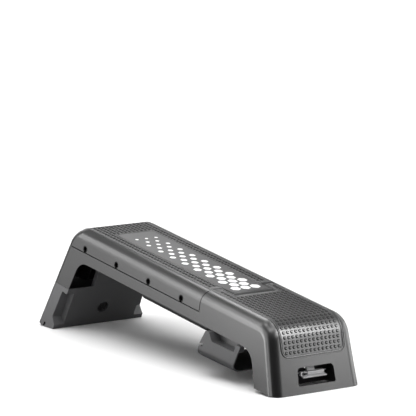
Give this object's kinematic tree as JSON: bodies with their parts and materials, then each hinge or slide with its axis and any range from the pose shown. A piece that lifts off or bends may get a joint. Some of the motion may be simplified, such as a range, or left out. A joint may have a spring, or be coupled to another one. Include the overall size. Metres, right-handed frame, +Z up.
{
  "type": "aerobic step",
  "caption": "Convertible aerobic step and bench with a textured top, a long hinged backrest lid and fold-out end legs, standing in its decline setting.",
  "frame": {"origin": "centre of the bounding box in plan, on the floor that the step stands on", "axes": "+X along the deck towards its low near end, +Y across it to the user's right as they sit facing the far end, +Z up; the deck is tilted 7.56 degrees down towards +X"},
  "size_m": [1.2572, 0.3506, 0.3433],
  "materials": {
    "deck_plastic": "satin moulded dark grey",
    "leg_plastic": "satin moulded grey",
    "dark_plastic": "matt black moulding",
    "tread_rubber": "matt with small raised nubs",
    "foot_rubber": "matt",
    "panel_plastic": "smooth satin with white printed shapes",
    "paddle_plastic": "satin light grey",
    "steel": "zinc plated"
  },
  "bodies": {
    "deck_body": {"body_shell": "deck_plastic", "seat_tread": "tread_rubber", "storage_tray": "dark_plastic", "left_rack": "dark_plastic", "right_rack": "dark_plastic", "lid_hinge_rod": "steel", "near_left_foot_button": "foot_rubber", "near_right_foot_button": "foot_rubber", "far_left_foot_button": "foot_rubber", "far_right_foot_button": "foot_rubber", "near_left_leg_washer": "dark_plastic", "near_right_leg_washer": "dark_plastic", "far_left_leg_washer": "dark_plastic", "far_right_leg_washer": "dark_plastic", "near_leg_pin": "steel", "far_leg_pin": "steel", "near_paddle_pin": "steel", "far_paddle_pin": "steel", "near_paddle_spring": "steel", "far_paddle_spring": "steel"},
    "backrest": {"backrest_shell": "deck_plastic", "backrest_tread": "tread_rubber", "centre_panel": "panel_plastic", "left_strut_clamp": "dark_plastic", "right_strut_clamp": "dark_plastic"},
    "support_strut": {"support_strut": "steel"},
    "near_leg": {"near_leg_shell": "leg_plastic", "near_left_leg_pad": "foot_rubber", "near_right_leg_pad": "foot_rubber"},
    "far_leg": {"far_leg_shell": "leg_plastic", "far_left_leg_pad": "foot_rubber", "far_right_leg_pad": "foot_rubber"},
    "near_lock_knob": {"near_lock_knob": "dark_plastic"},
    "far_lock_knob": {"far_lock_knob": "dark_plastic"},
    "near_paddle": {"near_paddle": "paddle_plastic"},
    "far_paddle": {"far_paddle": "paddle_plastic"}
  },
  "joints": [
    {"name": "backrest_hinge", "type": "hinge", "parent": "deck_body", "child": "backrest", "pos_m": [0.29772, 0, 0.23559], "axis": [0, 1, 0], "range_deg": [0, 65]},
    {"name": "strut_pivot", "type": "hinge", "parent": "backrest", "child": "support_strut", "pos_m": [-0.02015, 0, 0.2576], "axis": [0, 1, 0], "range_deg": [-138, 0]},
    {"name": "near_leg_hinge", "type": "hinge", "parent": "deck_body", "child": "near_leg", "pos_m": [0.53341, 0, 0.09233], "axis": [0, 1, 0], "range_deg": [-110.8, 0]},
    {"name": "far_leg_hinge", "type": "hinge", "parent": "deck_body", "child": "far_leg", "pos_m": [-0.43906, 0, 0.22141], "axis": [0, 1, 0], "range_deg": [-110.8, 0]},
    {"name": "near_knob_turn", "type": "hinge", "parent": "near_leg", "child": "near_lock_knob", "pos_m": [0.36511, 0, 0.13637], "axis": [0.1316, 0, 0.9913], "range_deg": [0, 90]},
    {"name": "far_knob_turn", "type": "hinge", "parent": "far_leg", "child": "far_lock_knob", "pos_m": [-0.50213, 0, 0.05927], "axis": [0.88, 0, -0.475], "range_deg": [0, 90]},
    {"name": "near_paddle_pivot", "type": "hinge", "parent": "deck_body", "child": "near_paddle", "pos_m": [0.59156, 0, 0.05535], "axis": [0, 1, 0], "range_deg": [0, 12], "stiffness_Nm_per_rad": 0.15, "springref_deg": -20.05},
    {"name": "far_paddle_pivot", "type": "hinge", "parent": "deck_body", "child": "far_paddle", "pos_m": [-0.50483, 0, 0.20088], "axis": [0, 1, 0], "range_deg": [-12, 0], "stiffness_Nm_per_rad": 0.15, "springref_deg": 20.05}
  ],
  "couplings": [
    {"joint": "strut_pivot", "follows": "backrest_hinge", "ratio": -2.12}
  ]
}
